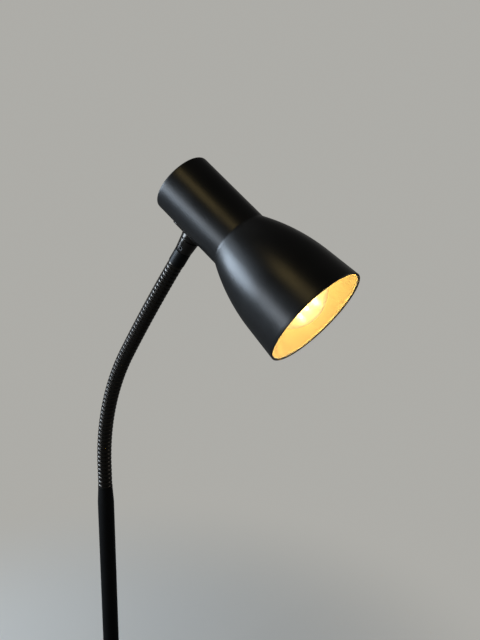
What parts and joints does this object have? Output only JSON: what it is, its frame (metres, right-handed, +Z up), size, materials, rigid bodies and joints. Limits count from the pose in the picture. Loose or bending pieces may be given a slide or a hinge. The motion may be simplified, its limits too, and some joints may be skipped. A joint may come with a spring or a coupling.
{
  "type": "desk lamp",
  "caption": "Gooseneck desk lamp: weighted round base with a push switch, straight post, ribbed flexible neck, and a cylinder-and-bell shade round a clear bulb.",
  "frame": {"origin": "on the desk, at the centre of the base's foot pad", "axes": "+Z up along the post, +X the way the neck leans, +Y to the left of someone facing +X"},
  "size_m": [0.3463, 0.16, 0.5996],
  "materials": {
    "shade_paint": "satin black outside, warm white inside",
    "neck_paint": "gloss black",
    "post_paint": "semi-gloss black",
    "base_paint": "fine powder coat, black",
    "steel": "zinc plated",
    "iron": "raw casting",
    "brass": "plain brass",
    "nickel": "bright cap",
    "pad": "foam rubber",
    "black_plastic": "moulded, fine texture",
    "button_plastic": "moulded, polished",
    "holder_plastic": "heat-resistant moulding",
    "ceramic": "glazed insulator",
    "lead_cover": "cord cover",
    "glass": "clear blown glass",
    "filament": "glowing strips"
  },
  "bodies": {
    "base": {"base_pad": "pad", "base_plate": "steel", "base_screws": "steel", "base_weight": "iron", "base_cover": "base_paint", "cord_inlet": "black_plastic", "inlet_nut": "black_plastic", "switch_body": "black_plastic", "switch_bezel": "black_plastic", "switch_spring": "steel", "post_collar": "post_paint", "post_tube": "post_paint", "post_bush": "steel", "post_nipple": "steel", "post_washer": "steel", "post_nut": "steel", "post_lead": "lead_cover", "post_taper": "post_paint"},
    "button": {"switch_button": "button_plastic"},
    "link_1": {"neck_link_1": "neck_paint"},
    "link_2": {"neck_link_2": "neck_paint"},
    "link_3": {"neck_link_3": "neck_paint"},
    "link_4": {"neck_link_4": "neck_paint"},
    "link_5": {"neck_link_5": "neck_paint"},
    "link_6": {"neck_link_6": "neck_paint"},
    "link_7": {"neck_link_7": "neck_paint"},
    "link_8": {"neck_link_8": "neck_paint", "neck_sleeve": "neck_paint"},
    "head": {"head_coupling": "neck_paint", "head_set_screw": "steel", "saddle_plate": "neck_paint", "head_nipple": "steel", "head_washer": "steel", "head_nut": "steel", "head_lead": "lead_cover", "shade_cylinder": "shade_paint", "shade_bell": "shade_paint", "lampholder_bracket": "steel", "bracket_screws": "steel", "lampholder_cap": "holder_plastic", "lampholder_core": "ceramic", "lampholder_shell": "brass", "lampholder_contact": "brass", "lampholder_skirt": "holder_plastic", "bulb_contact": "nickel", "bulb_insulator": "ceramic", "bulb_cap": "nickel", "bulb_glass": "glass", "bulb_stem": "glass", "bulb_wires": "steel", "bulb_filament": "filament"}
  },
  "joints": [
    {"name": "neck_bend_1", "type": "hinge", "parent": "base", "child": "link_1", "pos_m": [0, 0, 0.271], "axis": [0, 1, 0], "range_deg": [-20, 20]},
    {"name": "neck_sway_1", "type": "hinge", "parent": "link_1", "child": "link_2", "pos_m": [0.00034, 0, 0.30379], "axis": [0.9986, 0, -0.0531], "range_deg": [-20, 20]},
    {"name": "neck_bend_2", "type": "hinge", "parent": "link_2", "child": "link_3", "pos_m": [0.0043, 0, 0.33633], "axis": [0, 1, 0], "range_deg": [-20, 20]},
    {"name": "neck_sway_2", "type": "hinge", "parent": "link_3", "child": "link_4", "pos_m": [0.01264, 0, 0.36803], "axis": [0.9476, 0, -0.3195], "range_deg": [-20, 20]},
    {"name": "neck_bend_3", "type": "hinge", "parent": "link_4", "child": "link_5", "pos_m": [0.0252, 0, 0.3983], "axis": [0, 1, 0], "range_deg": [-20, 20]},
    {"name": "neck_sway_3", "type": "hinge", "parent": "link_5", "child": "link_6", "pos_m": [0.04145, 0, 0.42677], "axis": [0.8541, 0, -0.5201], "range_deg": [-20, 20]},
    {"name": "neck_bend_4", "type": "hinge", "parent": "link_6", "child": "link_7", "pos_m": [0.05876, 0, 0.45463], "axis": [0, 1, 0], "range_deg": [-20, 20]},
    {"name": "neck_sway_4", "type": "hinge", "parent": "link_7", "child": "link_8", "pos_m": [0.07657, 0, 0.48218], "axis": [0.8348, 0, -0.5505], "range_deg": [-20, 20]},
    {"name": "head_swivel", "type": "hinge", "parent": "link_8", "child": "head", "pos_m": [0.10278, 0, 0.52094], "axis": [0.5654, 0, 0.8248], "range_deg": [-150, 150]},
    {"name": "switch_press", "type": "slide", "parent": "base", "child": "button", "axis": [0, 0, -1], "range_m": [0, 0.0025], "stiffness_N_per_m": 600, "springref_m": -0.003, "deforming": ["switch_spring"]}
  ]
}
